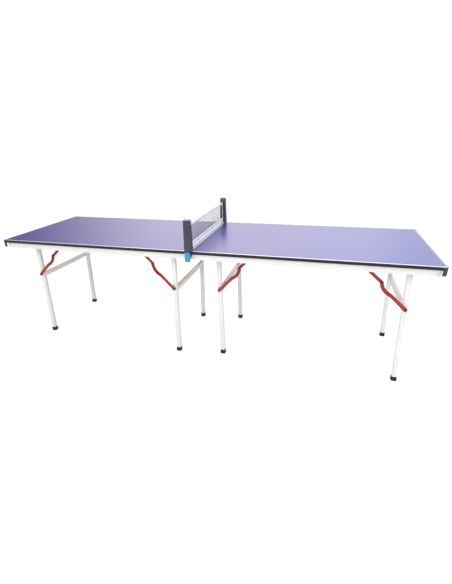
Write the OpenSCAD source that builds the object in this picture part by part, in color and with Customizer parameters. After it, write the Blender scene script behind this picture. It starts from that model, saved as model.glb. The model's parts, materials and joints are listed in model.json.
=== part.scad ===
// Folding mini table tennis table: two identical halves on folding leg frames, with a clip-on net.
// Millimetres. +Z up, floor at z = 0, the net over x = 0, length along X, width along Y.
// Each half is drawn reaching from the seam along +X; the left half is the same parts turned
// half a turn about Z.

/* [Table top] */
// Length of the playing surface, both halves
table_len = 2440; // [2030:10:2930]
// Width of the playing surface
table_wid = 716; // [620:2:900]
// Height of the playing surface above the floor
table_ht = 695; // [580:5:835]
// Thickness of each board
board_t = 15; // [12:1:22]
// Thickness of the plastic edge band
edge_t = 2.5; // [1:0.5:4]
// Radius of the two outer corners of a board
corner_r = 10; // [6:1:20]
// Gap between the two boards at the seam
seam_gap = 1; // [0.5:0.5:4]

/* [Corner guards] */
// Wall of a guard outside the edge band
guard_t = 2.5; // [2:0.5:4]
// Reach of a guard along each edge
guard_len = 18; // [14:1:50]
// Height of a guard, measured down from the playing surface
guard_h = 41; // [30:1:60]

/* [Apron frame] */
// Height of the folded steel rails under the board
apron_h = 36; // [32:1:50]
// Sheet thickness of the rails
apron_t = 2; // [1.5:0.5:3]
// Distance from the board's edge to the rails' outer face
apron_inset = 16; // [14:1:30]
// Width of the rails' upper flange, which is screwed to the board
apron_flange = 22; // [18:1:30]
// Width of the rails' lower lip
apron_lip = 11; // [6:1:16]
// Distance from the seam to the seam rail's outer face
seam_inset = 4; // [3:1:12]
// Diameter of the two locating pins across the seam
seam_pin_d = 8; // [6:1:12]

/* [Leg frames] */
// Outside width of the square leg tube
leg_tube = 25; // [20:1:30]
// Wall thickness of the leg tube
tube_wall = 1.5; // [1:0.5:2.5]
// Distance from the side rail's outer face to the nearest leg's middle
leg_inset = 78.5; // [60:0.5:120]
// Sideways shift of each frame, so that folded frames lie side by side
frame_shift = 18.5; // [17:0.5:22]
// Depth of the leg hinges below the board
hinge_drop = 34; // [34:1:40]
// Distance from the table's end to the outer leg hinges
outer_hinge_in = 125; // [100:5:200]
// Distance from the seam to the inner leg hinges
inner_hinge_x = 128; // [100:4:180]
// Outward splay of the outer legs, in degrees
outer_splay = 3; // [0:0.5:5]
// Lean of the inner legs away from the net, in degrees
inner_lean = 1.2; // [0:0.2:3]
// Distance from the leg hinge down to the middle of the crossbar
crossbar_drop = 218; // [180:1:320]
// Diameter of the hinge and stay bolts
bolt_d = 8; // [6:1:8]

/* [Folding stays] */
// Distance from the leg hinge to the lower link's rivet, along the leg
stay_on_leg = 208; // [170:1:250]
// Distance from the leg hinge to the upper link's rivet, along the bracket
stay_on_rail = 192; // [160:1:230]
// Length of the short upper link, rivet to rivet
upper_link = 94; // [80:1:112]
// How far the upper link stands off the straight line when the leg is open, in degrees
knee_angle = 4; // [3:0.5:5]
// Angle through which the linkage carries the leg
stay_fold = 93; // [90:1:94]
// Rise of the upper link's free end when the leg is folded, in degrees
upper_rise = 2; // [0:0.5:4]
// Droop of the lower link's free end when the leg is folded, in degrees
lower_droop = 8; // [6:0.5:10]
// Width of the lower link
lower_w = 19; // [16:1:22]
// Width of the upper link
upper_w = 17; // [15:1:18]
// Thickness of both links
link_t = 3; // [2:0.5:4]
// Diameter of the rivet that runs in the slot
slot_rivet_d = 5; // [4:0.5:8]
// Clearance between the rivet and each side of the slot
slot_clear = 0.9; // [0.9:0.1:1.4]

/* [Brackets and feet] */
// Sheet thickness of the hinge brackets
bracket_t = 2.5; // [2:0.5:3]
// Sideways play between leg and bracket
bracket_gap = 0.5; // [0.3:0.1:1]
// Wall of the rubber foot caps
cap_wall = 2.5; // [2:0.5:4]
// Height of the foot caps
cap_h = 26; // [20:1:50]
// Thickness of the sole under the tube
cap_sole = 8; // [4:1:12]

/* [Net set] */
// Height of the net's top above the playing surface
net_ht = 140; // [110:1:155]
// Height of the posts above the playing surface
post_ht = 165; // [130:1:200]
// Width of a post along the table's length, where it stands on the board
post_w = 42; // [34:1:48]
// How much the top of a post is narrower, on each side
post_taper = 4; // [0:0.5:6]
// Width of the post's foot outside the table's edge, which the clip straddles
foot_w = 24; // [20:1:30]
// Depth of a post across the table's edge
post_d = 36; // [30:1:50]
// How far the post stands out from the board's edge
post_out = 9; // [9:0.5:12]
// Height of the net's top and bottom tapes
tape_h = 15; // [10:1:25]
// Diameter of the cord in the top tape
cord_d = 3; // [2:0.5:4]
// Thickness of the clip lever's outer plate
lever_t = 5; // [4:0.5:8]
// Height of the clip lever
lever_h = 52; // [44:1:60]
// Gap between the post and the lever, which sets how far the clip opens
lever_gap = 4.5; // [4:0.5:7]
// Diameter of the clip's pivot pin
clip_pin_d = 5; // [4:0.5:6]

/* [Hidden] */
SIDES = ["left", "right"];
FRAMES = ["outer", "inner"];
HALF_PARTS = [
    "top_board", "edge_band", "corner_guards", "side_rail_near", "side_rail_far", "end_rail",
    "seam_rail", "leg_brackets", "hinge_bolts", "stay_anchor_rivets"
];
FRAME_PARTS = [
    "legs", "crossbar", "foot_caps", "stay_rivets", "lower_stay_links", "upper_stay_links",
    "slot_rivets"
];
NET_PARTS = [
    "seam_pins", "net_post_near", "net_post_far", "clip_lever_near", "clip_lever_far",
    "clip_pins", "clip_springs", "net_mesh", "net_tapes", "net_side_rods", "net_cord"
];

// Fits
running = 0.05;      // radial play of a bolt in its bore
side_play = 0.2;     // play between flat faces that slide on each other
skip = 0.01;         // lets a cut run past the face that it starts from
slot_mid = 0.2;      // share of the fold at which the slot's arc meets the rivet's path

// Board and apron
half_len = table_len / 2;
board_x0 = seam_gap / 2;
half_wid = table_wid / 2;
board_z = table_ht - board_t;
rail_y = half_wid - apron_inset;
rail_x0 = seam_inset;
rail_x1 = half_len - apron_inset;

// Legs
leg_spacing = 2 * (rail_y - leg_inset - frame_shift);
hinge_z = board_z - hinge_drop;
leg_half = leg_tube / 2;
bolt_r = bolt_d / 2;
bore_r = bolt_r + running;
head_r = bolt_r + 2.5;
head_h = 3.5;
nut_h = 6.5;
nut_r = bolt_r * 1.87;

// Planes of the stay, measured outward from the middle of the leg
ear_in = leg_half + bracket_gap;
ear_out = ear_in + bracket_t;
upper_in = ear_out + bracket_gap;
upper_out = upper_in + link_t;
anchor_head_h = 2.5;
lower_in = upper_out + anchor_head_h + bracket_gap;
lower_out = lower_in + link_t;

// Stay linkage in the plane of the leg: hinge at the origin, the open leg along -y, and the
// anchor rivet on +x. The leg folds towards +x. Both links turn in step with the leg, and the
// slot follows the path that their common rivet takes in the lower link.
anchor_pt = [stay_on_rail, 0];
upper_start = atan2(-stay_on_leg, -stay_on_rail) + 360 - knee_angle;
upper_stop = 180 - upper_rise;
function on_circle(r, a) = [r * cos(a), r * sin(a)];
function turned(p, a) = [p.x * cos(a) - p.y * sin(a), p.x * sin(a) + p.y * cos(a)];
function part_way(from, to, share) = from + (to - from) * share;
// Places at a share of the fold, from 0 open to 1 folded
function leg_rivet_at(share) = on_circle(stay_on_leg, stay_fold * share - 90);
function slot_rivet_at(share) =
    anchor_pt + on_circle(upper_link, part_way(upper_start, upper_stop, share));
lower_start_vec = slot_rivet_at(0) - leg_rivet_at(0);
lower_start = atan2(lower_start_vec.y, lower_start_vec.x);
lower_stop = 180 + lower_droop;
// The slot rivet's place in the lower link's own frame: leg rivet at the origin, link along +x
function slot_pt(share) = turned(
    slot_rivet_at(share) - leg_rivet_at(share), -part_way(lower_start, lower_stop, share)
);
slot_a = slot_pt(0);
slot_m = slot_pt(slot_mid);
slot_b = slot_pt(1);
// Centre of the circle through three points
function circle_centre(a, b, c) =
    let (
        u = b - a,
        v = c - a,
        d = 2 * (u.x * v.y - u.y * v.x)
    )
    a + [v.y * (u * u) - u.y * (v * v), u.x * (v * v) - v.x * (u * u)] / d;
slot_c = circle_centre(slot_a, slot_m, slot_b);
slot_r = norm(slot_a - slot_c);
slot_w = slot_rivet_d + 2 * slot_clear;
tail_w = slot_w + 7;

// Net set
post_y1 = half_wid + post_out;
post_y0 = post_y1 - post_d;
web_y0 = half_wid + 1;
web_z0 = board_z - 5;
post_lean = atan(post_taper / post_ht);
tongue_t = 3.5;
tongue_z0 = board_z - 26;
channel_w = 8;
channel_z0 = table_ht + 2.8;
channel_mouth = cord_d + 2.6;
rod_r = 2.5;
rod_y = post_y0 + channel_w / 2 + 1.5;
lever_y0 = post_y1 + lever_gap;
lever_y1 = lever_y0 + lever_t;
lever_z1 = table_ht - 1;
lever_z0 = lever_z1 - lever_h;
cheek_t = 3;
finger_y0 = rail_y + 2.5;
finger_y1 = half_wid - 2;
finger_h = 11;
clip_pin_y = (web_y0 + post_y1) / 2;
clip_pin_z = board_z + 4;
clip_pin_r = clip_pin_d / 2;
clip_hub_r = clip_pin_r + 1.8;
spring_wire = 1.2;
spring_turns = 5;
spring_room = 5.5;
net_z0 = table_ht + 3;
net_z1 = table_ht + net_ht;
net_y = rod_y - rod_r - 0.3;
sleeve_t = 0.8;
sleeve_y = post_y0 - 9;
cord_r = cord_d / 2;
cord_z = net_z1 - sleeve_t - cord_r;
hook_r = 3;
hook_z = table_ht + post_ht - 14;
hook_reach = cord_d + 1;
loop_r = hook_r + cord_r + 0.1;
loop_y = post_y0 - cord_r - 0.4;

// Colours
WHITE = [0.93, 0.93, 0.92];
BLUE = [0.36, 0.34, 0.66];
BLACK = [0.10, 0.10, 0.11];
RED = [0.72, 0.14, 0.16];
STEEL = [0.62, 0.63, 0.65];
TEAL = [0.12, 0.62, 0.74];
SLATE = [0.16, 0.19, 0.26];

// ---------- placing ----------

module on_side(side) {
    rotate([0, 0, side == "left" ? 180 : 0]) children();
}

function frame_y(frame) = frame == "outer" ? -frame_shift : frame_shift;
function frame_x(frame) = frame == "outer" ? half_len - outer_hinge_in : inner_hinge_x;
function frame_tilt(frame) = frame == "outer" ? outer_splay : -inner_lean;

// Frame of one leg: origin on the hinge, +x towards the middle of the half, +y outward, +z up
module at_hinge(frame, s) {
    translate([frame_x(frame), frame_y(frame) + s * leg_spacing / 2, hinge_z])
        mirror([frame == "outer" ? 1 : 0, 0, 0])
            mirror([0, s < 0 ? 1 : 0, 0])
                children();
}

// The same, turned so that the open leg runs down -z
module along_leg(frame, s) {
    at_hinge(frame, s) rotate([0, frame_tilt(frame), 0]) children();
}

module both_legs(frame) {
    for (s = [-1, 1]) along_leg(frame, s) children();
}

// Extrudes an outline drawn in x and z over the stretch y0 to y1
module plate(y0, y1) {
    translate([0, y1, 0]) rotate([90, 0, 0]) linear_extrude(height = y1 - y0) children();
}

// A cylinder along y
module pin_y(r, y0, y1, fn = 48) {
    plate(y0, y1) circle(r = r, $fn = fn);
}

// ---------- flat outlines ----------

module rounded_rect(x0, y0, x1, y1, r) {
    translate([x0 + r, y0]) square([x1 - x0 - 2 * r, y1 - y0]);
    translate([x0, y0 + r]) square([x1 - x0, y1 - y0 - 2 * r]);
    for (x = [x0 + r, x1 - r])
        for (y = [y0 + r, y1 - r])
            translate([x, y]) circle(r = r, $fn = 48);
}

// Outline of a board, grown by d on the three free edges and by seam_d at the seam
module board_outline(d, seam_d) {
    x0 = board_x0 - seam_d;
    x1 = half_len + d;
    y1 = half_wid + d;
    r = max(corner_r + d, 1);
    translate([x0, -y1]) square([x1 - r - x0, 2 * y1]);
    translate([x0, -y1 + r]) square([x1 - x0, 2 * (y1 - r)]);
    for (s = [-1, 1]) translate([x1 - r, s * (y1 - r)]) circle(r = r, $fn = 64);
}

// A straight bar with round ends from p to q
module bar_outline(p, q, w) {
    v = q - p;
    translate(p) rotate(atan2(v.y, v.x)) translate([0, -w / 2]) square([norm(v), w]);
    for (e = [p, q]) translate(e) circle(d = w, $fn = 48);
}

// A band of width w along the slot's arc, with round ends
module slot_band(w) {
    start = atan2(slot_b.y - slot_c.y, slot_b.x - slot_c.x);
    stop = atan2(slot_a.y - slot_c.y, slot_a.x - slot_c.x);
    reach = 2 * slot_r;
    intersection() {
        translate(slot_c) difference() {
            circle(r = slot_r + w / 2, $fn = 128);
            circle(r = slot_r - w / 2, $fn = 128);
        }
        translate(slot_c) polygon([
            [0, 0], on_circle(reach, start), on_circle(reach, (start + stop) / 2),
            on_circle(reach, stop)
        ]);
    }
    for (e = [slot_a, slot_b]) translate(e) circle(d = w, $fn = 48);
}

// ---------- top ----------

module top_board() {
    color(BLUE) translate([0, 0, board_z])
        linear_extrude(height = board_t) board_outline(-edge_t, -edge_t);
}

module edge_band() {
    color(BLACK) translate([0, 0, board_z]) linear_extrude(height = board_t) difference() {
        board_outline(0, 0);
        board_outline(-edge_t, -edge_t);
    }
}

module guard_ring(z0, z1, inner) {
    translate([0, 0, z0]) linear_extrude(height = z1 - z0) difference() {
        board_outline(guard_t, 0);
        board_outline(inner, 0);
    }
}

module corner_guards() {
    reach = guard_len + guard_t;
    color(BLACK) for (s = [-1, 1]) intersection() {
        union() {
            guard_ring(table_ht - guard_h, table_ht, 0);
            guard_ring(table_ht - guard_h, board_z, -guard_t);
            guard_ring(board_z - guard_t, board_z, 1 - apron_inset);
        }
        mirror([0, s < 0 ? 1 : 0, 0])
            translate([half_len + guard_t - reach, half_wid + guard_t - reach, 0])
                cube([reach, reach, table_ht + 1]);
    }
}

// ---------- apron ----------

// Folded rail in section: web on the outside, flange on top, lip below, bends rounded
module rail_section() {
    bend = 2 * apron_t;
    difference() {
        union() {
            translate([-apron_flange, -apron_t]) square([apron_flange - bend, apron_t]);
            translate([-apron_lip, -apron_h]) square([apron_lip - bend, apron_t]);
            translate([-apron_t, -apron_h + bend]) square([apron_t, apron_h - 2 * bend]);
            for (y = [-bend, -apron_h + bend]) translate([-bend, y]) circle(r = bend, $fn = 48);
        }
        for (y = [-bend, -apron_h + bend]) translate([-bend, y]) circle(r = bend - apron_t, $fn = 48);
        translate([-2 * bend - apron_t, -apron_h + apron_t])
            square([2 * bend, apron_h - 2 * apron_t]);
        translate([-2 * bend, -apron_h + bend]) square([2 * bend - apron_t, apron_h - 2 * bend]);
    }
}

// A rail whose web stands at y = 0, from x = 0 to length, with mitred ends
module mitred_rail(length) {
    intersection() {
        rotate([90, 0, 90]) linear_extrude(height = length) rail_section();
        translate([0, 0, -apron_h - 1]) linear_extrude(height = apron_h + 2) polygon([
            [0, 0], [length, 0], [length - apron_flange - 1, -apron_flange - 1],
            [apron_flange + 1, -apron_flange - 1]
        ]);
    }
}

module side_rail(s) {
    color(WHITE) mirror([0, s < 0 ? 1 : 0, 0])
        translate([rail_x0, rail_y, board_z]) mitred_rail(rail_x1 - rail_x0);
}

module end_rail() {
    color(WHITE) translate([rail_x1, rail_y, board_z]) rotate([0, 0, -90]) mitred_rail(2 * rail_y);
}

module seam_pin_holes(r) {
    for (s = [-1, 1]) translate([-1, s * rail_y / 2, board_z - apron_h / 2])
        rotate([0, 90, 0]) cylinder(r = r, h = rail_x0 + apron_t + 2, $fn = 48);
}

module seam_rail() {
    color(WHITE) difference() {
        translate([rail_x0, -rail_y, board_z]) rotate([0, 0, 90]) mitred_rail(2 * rail_y);
        seam_pin_holes(seam_pin_d / 2 + 2 * running);
    }
}

// Stepped dowels: a collar seats on the right seam rail, the nose reaches through the left one
module seam_pins() {
    nose = rail_x0 + apron_t + 4;
    color(STEEL) for (s = [-1, 1])
        translate([0, s * rail_y / 2, board_z - apron_h / 2]) rotate([0, 90, 0]) {
            translate([0, 0, -nose]) cylinder(d1 = seam_pin_d - 2, d2 = seam_pin_d, h = 3, $fn = 48);
            translate([0, 0, 3 - nose]) cylinder(d = seam_pin_d, h = 2 * nose - 3, $fn = 48);
            translate([0, 0, rail_x0 - 2.5]) cylinder(d = seam_pin_d + 6, h = 2.5, $fn = 48);
            translate([0, 0, rail_x0 + apron_t]) cylinder(d = seam_pin_d + 5, h = 4, $fn = 6);
        }
}

// ---------- hinge brackets ----------

bracket_back = leg_half + bracket_gap + 0.5;

// Long ear: carries the hinge bolt and the stay's anchor rivet
module long_ear_outline(tilt) {
    b = turned(anchor_pt, -tilt);
    r = upper_w / 2;
    top = hinge_drop;
    back = -bracket_back - bracket_t;
    difference() {
        union() {
            circle(r = leg_half, $fn = 64);
            translate(b) circle(r = r, $fn = 48);
            polygon([
                [back, top], [back, -leg_half + 4], [0, -leg_half], [b.x, b.y - r],
                [b.x + r, b.y], [b.x + r, top]
            ]);
        }
        circle(r = bore_r, $fn = 48);
        translate(b) circle(r = bore_r, $fn = 48);
    }
}

module short_ear_outline() {
    back = -bracket_back - bracket_t;
    difference() {
        union() {
            circle(r = leg_half, $fn = 64);
            polygon([
                [back, hinge_drop], [back, -leg_half + 4], [0, -leg_half], [leg_half, 0],
                [leg_half, hinge_drop]
            ]);
        }
        circle(r = bore_r, $fn = 48);
    }
}

module leg_bracket(tilt) {
    length = bracket_back + bracket_t + stay_on_rail + upper_w / 2 + 10;
    plate(ear_in, ear_out) long_ear_outline(tilt);
    plate(-ear_out, -ear_in) short_ear_outline();
    translate([-bracket_back - bracket_t, -ear_out, hinge_drop - bracket_t])
        cube([length, 2 * ear_out, bracket_t]);
    translate([-bracket_back - bracket_t, -ear_out, -leg_half + 4])
        cube([bracket_t, 2 * ear_out, hinge_drop + leg_half - 4]);
}

module leg_brackets() {
    color(WHITE) for (f = FRAMES) for (s = [-1, 1]) at_hinge(f, s) leg_bracket(frame_tilt(f));
}

// A nut on the inner end of a bolt, its outer face at y
module hex_nut(y) {
    plate(y - nut_h, y) difference() {
        circle(r = nut_r, $fn = 6);
        circle(r = bolt_r + running, $fn = 48);
    }
}

module hinge_bolts() {
    color(STEEL) for (f = FRAMES) for (s = [-1, 1]) at_hinge(f, s) {
        pin_y(bolt_r, -ear_out - nut_h - 1, ear_out + skip);
        pin_y(head_r, ear_out, ear_out + head_h);
        hex_nut(-ear_out);
    }
}

module stay_anchor_rivets() {
    color(BLACK) for (f = FRAMES) for (s = [-1, 1]) along_leg(f, s)
        translate([anchor_pt.x, 0, anchor_pt.y]) {
            pin_y(bolt_r, ear_in, upper_out + skip);
            pin_y(head_r, upper_out, upper_out + anchor_head_h);
        }
}

// ---------- leg frames ----------

// Height of a leg along its own axis, from the hinge to the floor
function leg_run(frame) = hinge_z / cos(frame_tilt(frame));

module tube_outline(grow = 0) {
    h = leg_half + grow;
    rounded_rect(-h, -h, h, h, 3 + grow);
}

// One leg: square tube with a solid rounded head that turns in its bracket
module leg(frame) {
    run = leg_run(frame) - cap_sole;
    difference() {
        union() {
            translate([0, 0, -run]) linear_extrude(height = run) tube_outline();
            pin_y(leg_half, -leg_half, leg_half, 64);
        }
        translate([0, 0, -run - 1]) linear_extrude(height = run - 20) tube_outline(-tube_wall);
        pin_y(bore_r, -leg_half - 1, leg_half + 1);
        translate([0, 0, -stay_on_leg]) pin_y(bore_r, 0, leg_half + 1);
    }
}

module legs(frame) {
    color(WHITE) both_legs(frame) leg(frame);
}

// The crossbar is welded between the inner faces of the two legs
module crossbar(frame) {
    length = leg_spacing - leg_tube;
    color(WHITE) along_leg(frame, 1) translate([0, -leg_half, -crossbar_drop])
        rotate([90, 0, 0]) linear_extrude(height = length) difference() {
            tube_outline();
            tube_outline(-tube_wall);
        }
}

// Rubber cap over the tube's end, its sole cut level with the floor
module foot_caps(frame) {
    run = leg_run(frame);
    color(BLACK) difference() {
        both_legs(frame) difference() {
            translate([0, 0, -run - 4]) linear_extrude(height = cap_h + 4) tube_outline(cap_wall);
            translate([0, 0, cap_sole - run]) linear_extrude(height = cap_h) tube_outline();
        }
        translate([frame_x(frame) - 100, -half_wid, -20]) cube([200, table_wid, 20]);
    }
}

// Rivet in the leg's outer wall: tail inside the tube, shoulder spacer and head outside
module stay_rivets(frame) {
    color(BLACK) both_legs(frame) translate([0, 0, -stay_on_leg]) {
        pin_y(bolt_r + 2, leg_half - tube_wall - 2, leg_half - tube_wall);
        pin_y(bolt_r, leg_half - tube_wall - skip, lower_out + side_play + skip);
        pin_y(bolt_r + 1.5, leg_half, lower_in - side_play);
        pin_y(head_r, lower_out + side_play, lower_out + side_play + head_h);
    }
}

// ---------- folding stays ----------

// Long link: a straight shank from the leg bolt, then a head that follows the curved slot
module lower_link() {
    difference() {
        union() {
            bar_outline([0, 0], slot_b, lower_w);
            slot_band(lower_w);
        }
        slot_band(slot_w);
        circle(r = bore_r, $fn = 48);
    }
}

module lower_stay_links(frame) {
    color(RED) both_legs(frame) translate([0, 0, -stay_on_leg])
        plate(lower_in, lower_out) rotate(lower_start) lower_link();
}

// Short link, with a tail that lies behind the slot while the leg is open
module upper_stay_links(frame) {
    color(RED) both_legs(frame) plate(upper_in, upper_out) difference() {
        union() {
            bar_outline(anchor_pt, slot_rivet_at(0), upper_w);
            translate(leg_rivet_at(0)) rotate(lower_start) slot_band(tail_w);
        }
        translate(anchor_pt) circle(r = bore_r, $fn = 48);
        translate(slot_rivet_at(0)) circle(r = slot_rivet_d / 2, $fn = 48);
    }
}

// Shoulder rivet set in the upper link; its neck runs in the lower link's slot
module slot_rivets(frame) {
    collar = slot_w / 2 + 1.5;
    color(STEEL) both_legs(frame) translate([slot_rivet_at(0).x, 0, slot_rivet_at(0).y]) {
        pin_y(slot_rivet_d / 2, upper_in, lower_out + side_play + skip);
        pin_y(collar, upper_out, lower_in - side_play);
        pin_y(collar + 1.5, lower_out + side_play, lower_out + side_play + 2.2);
    }
}

// ---------- net set ----------

// Places a post's parts: +y is outward from the table
module at_post(s) {
    mirror([0, s < 0 ? 1 : 0, 0]) children();
}

// Frame of one broad side of a post: origin at its foot, +z up the leaning face, +x outward
module up_broad_side(s) {
    mirror([s < 0 ? 1 : 0, 0, 0]) translate([post_w / 2, 0, table_ht])
        rotate([0, -post_lean, 0]) children();
}

// Upright with leaning broad sides: a bar for each side, and what both bars share is the post
module post_shaft() {
    intersection() {
        up_broad_side(1) post_bar();
        up_broad_side(-1) post_bar();
        translate([-post_w, post_y0 - 1, table_ht]) cube([2 * post_w, post_d + 2, post_ht]);
    }
}

module post_bar() {
    translate([0, 0, -5]) linear_extrude(height = post_ht + 10)
        rounded_rect(-2 * post_w, post_y0, 0, post_y1, 6);
}

module post_body() {
    grip_r = 2;
    difference() {
        union() {
            post_shaft();
            translate([-foot_w / 2, web_y0, web_z0])
                cube([foot_w, post_y1 - web_y0, table_ht - web_z0 + skip]);
            translate([-foot_w / 2, post_y1 - tongue_t, tongue_z0])
                cube([foot_w, tongue_t, web_z0 - tongue_z0 + skip]);
        }
        // channel for the net's side rod, open at the inner face
        translate([0, rod_y, channel_z0]) cylinder(d = channel_w, h = net_ht, $fn = 48);
        translate([-channel_mouth / 2, post_y0 - 1, channel_z0])
            cube([channel_mouth, rod_y - post_y0 + 1, net_ht]);
        // grip grooves on the two broad sides
        for (sx = [-1, 1]) for (k = [0:2])
            up_broad_side(sx) translate([0, post_y0 + 10 + 8 * k, 8])
                cylinder(r = grip_r, h = post_ht - 20, $fn = 24);
        // room for the coil spring, and the bore for the clip pin
        translate([-spring_room, web_y0 - 1, clip_pin_z - spring_room])
            cube([2 * spring_room, post_y1 - web_y0 + 2, 2 * spring_room]);
        translate([0, clip_pin_y, clip_pin_z]) rotate([0, 90, 0])
            cylinder(r = clip_pin_r + running, h = foot_w + 2, center = true, $fn = 48);
    }
    // cord hook: a mushroom peg on the inner face, above the channel
    translate([0, post_y0 + skip, hook_z]) rotate([90, 0, 0]) {
        cylinder(r = hook_r, h = hook_reach + skip, $fn = 32);
        translate([0, 0, hook_reach]) cylinder(r = hook_r + 2.5, h = 2.5, $fn = 32);
    }
}

module net_post(s) {
    color(SLATE) at_post(s) post_body();
}

// Lever: outer plate, two cheeks that straddle the post's foot, and the finger under the board
module clip_lever(s) {
    inner = foot_w / 2 + side_play;
    outer = inner + cheek_t;
    finger_z1 = board_z - side_play;
    color(TEAL) at_post(s) difference() {
        union() {
            translate([0, 0, lever_z0]) linear_extrude(height = lever_h)
                rounded_rect(-outer, lever_y0, outer, lever_y1, 2);
            for (sx = [-1, 1]) translate([sx > 0 ? inner : -outer, 0, 0]) rotate([90, 0, 90])
                linear_extrude(height = cheek_t) {
                    translate([clip_pin_y, clip_pin_z]) circle(r = clip_hub_r, $fn = 48);
                    polygon([
                        [finger_y0, finger_z1], [web_y0 - 1, finger_z1],
                        [clip_pin_y - clip_hub_r, clip_pin_z], [clip_pin_y, clip_pin_z + clip_hub_r],
                        [lever_y0 + skip, clip_pin_z + clip_hub_r],
                        [lever_y0 + skip, finger_z1 - finger_h - 8],
                        [finger_y0, finger_z1 - finger_h]
                    ]);
                }
            translate([-outer, finger_y0, finger_z1 - finger_h])
                cube([2 * outer, finger_y1 - finger_y0, finger_h]);
        }
        translate([0, clip_pin_y, clip_pin_z]) rotate([0, 90, 0])
            cylinder(r = clip_pin_r + running, h = 2 * outer + 2, center = true, $fn = 48);
    }
}

module clip_pins() {
    length = foot_w + 2 * (side_play + cheek_t);
    color(STEEL) for (s = [-1, 1]) at_post(s) translate([0, clip_pin_y, clip_pin_z])
        rotate([0, 90, 0]) cylinder(r = clip_pin_r, h = length, center = true, $fn = 48);
}

// Torsion spring on the pin: close-wound turns, one arm up in the post, one against the lever
module clip_springs() {
    mean_r = clip_pin_r + running + spring_wire / 2 + 0.2;
    pitch = spring_wire * 0.9;
    half = pitch * (spring_turns - 1) / 2;
    color(STEEL) for (s = [-1, 1]) at_post(s) translate([0, clip_pin_y, clip_pin_z]) {
        rotate([0, 90, 0]) for (k = [0:spring_turns - 1])
            translate([0, 0, pitch * k - half]) rotate_extrude($fn = 48)
                translate([mean_r, 0]) circle(d = spring_wire, $fn = 16);
        translate([half, -mean_r, 0]) cylinder(d = spring_wire, h = spring_room - 0.3, $fn = 16);
        translate([-half, 0, -mean_r]) rotate([-90, 0, 0])
            cylinder(d = spring_wire, h = lever_y0 - clip_pin_y - 0.3, $fn = 16);
    }
}

module net_mesh() {
    color([0.75, 0.75, 0.73, 0.6]) translate([-0.6, -net_y, net_z0 + tape_h])
        cube([1.2, 2 * net_y, net_z1 - net_z0 - 2 * tape_h]);
}

// Top tape is a folded sleeve around the cord; bottom tape is a flat band
module net_tapes() {
    color(WHITE) {
        difference() {
            union() {
                translate([-1.2, -net_y, net_z1 - tape_h]) cube([2.4, 2 * net_y, tape_h - 2]);
                translate([0, 0, cord_z]) rotate([90, 0, 0])
                    cylinder(r = cord_r + sleeve_t, h = 2 * sleeve_y, center = true, $fn = 32);
            }
            translate([0, 0, cord_z]) rotate([90, 0, 0])
                cylinder(r = cord_r + running, h = 2 * net_y + 2, center = true, $fn = 32);
        }
        translate([-1.2, -net_y, net_z0]) cube([2.4, 2 * net_y, tape_h]);
    }
}

module net_side_rods() {
    color(STEEL) for (s = [-1, 1]) at_post(s) translate([0, rod_y, net_z0])
        cylinder(r = rod_r, h = net_ht - 4, $fn = 32);
}

// Cord through the sleeve; at each end it rises to the post's peg and loops round it
module net_cord() {
    rise = hook_z - loop_r - cord_z;
    run = loop_y - sleeve_y;
    color(WHITE) {
        translate([0, 0, cord_z]) rotate([90, 0, 0])
            cylinder(r = cord_r, h = 2 * sleeve_y, center = true, $fn = 32);
        for (s = [-1, 1]) at_post(s) {
            translate([0, sleeve_y, cord_z]) sphere(r = cord_r, $fn = 32);
            translate([0, sleeve_y, cord_z]) rotate([-atan2(run, rise), 0, 0])
                cylinder(r = cord_r, h = norm([run, rise]), $fn = 32);
            translate([0, loop_y, hook_z]) rotate([90, 0, 0]) rotate_extrude($fn = 48)
                translate([loop_r, 0]) circle(r = cord_r, $fn = 32);
        }
    }
}

// ---------- output ----------

for (side = SIDES) {
    on_side(side) top_board();
    on_side(side) edge_band();
    on_side(side) corner_guards();
    on_side(side) side_rail(side == "left" ? 1 : -1);
    on_side(side) side_rail(side == "left" ? -1 : 1);
    on_side(side) end_rail();
    on_side(side) seam_rail();
    on_side(side) leg_brackets();
    on_side(side) hinge_bolts();
    on_side(side) stay_anchor_rivets();
    for (frame = FRAMES) {
        head = str(side, "_", frame, "_");
        on_side(side) legs(frame);
        on_side(side) crossbar(frame);
        on_side(side) foot_caps(frame);
        on_side(side) stay_rivets(frame);
        on_side(side) lower_stay_links(frame);
        on_side(side) upper_stay_links(frame);
        on_side(side) slot_rivets(frame);
    }
}
seam_pins();
net_post(-1);  // net_post_near
net_post(1);  // net_post_far
clip_lever(-1);  // clip_lever_near
clip_lever(1);  // clip_lever_far
clip_pins();
clip_springs();
net_mesh();
net_tapes();
net_side_rods();
net_cord();
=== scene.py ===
# %% [markdown]
# # A folding mini table tennis table
# The script dresses a finished model of the table: it loads the parts, makes their paints,
# plastics and cloth, and adds the small things that a drawing leaves out, such as the net's
# strands, the stitching, the weld beads, the screw heads and the moulded rubber feet. Every part
# keeps its size. The loaded parts are in metres: X runs along the table, Y across it, Z up, and
# the floor is z = 0.

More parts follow.
